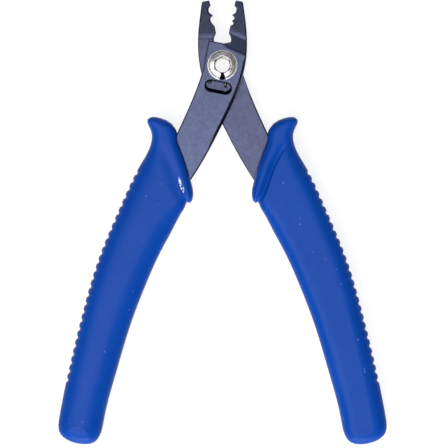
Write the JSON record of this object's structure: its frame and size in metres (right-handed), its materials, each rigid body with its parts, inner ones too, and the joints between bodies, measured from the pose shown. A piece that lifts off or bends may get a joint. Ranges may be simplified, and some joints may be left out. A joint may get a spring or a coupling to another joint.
{
  "type": "bead crimping pliers",
  "caption": "Small lap-joint crimping pliers with notched jaws, hollow screw pivot, return spring and moulded blue grips, stored open.",
  "frame": {"origin": "on the pivot axis, in the plane where the two steel halves slide on each other", "axes": "+Z along the pivot, out of the screw head; +Y towards the jaw tips; +X towards the jaw of the front half; the tool lies on its back, open"},
  "size_m": [0.0934, 0.1265, 0.011],
  "materials": {
    "blued_steel": "blued, satin",
    "bright_steel": "plated, polished",
    "spring_wire": "drawn wire",
    "grip_plastic": "moulded, satin"
  },
  "bodies": {
    "front_half": {"front_half": "blued_steel", "pivot_screw": "bright_steel", "pivot_nut": "bright_steel", "head_washer": "bright_steel", "return_spring": "spring_wire", "front_grip": "grip_plastic"},
    "rear_half": {"rear_half": "blued_steel", "rear_grip": "grip_plastic"}
  },
  "joints": [
    {"name": "jaw_pivot", "type": "hinge", "parent": "front_half", "child": "rear_half", "pos_m": [0, 0, 0], "axis": [0, 0, -1], "range_deg": [0, 22], "stiffness_Nm_per_rad": 0.45, "springref_deg": -28.65, "deforming": ["return_spring"]}
  ]
}
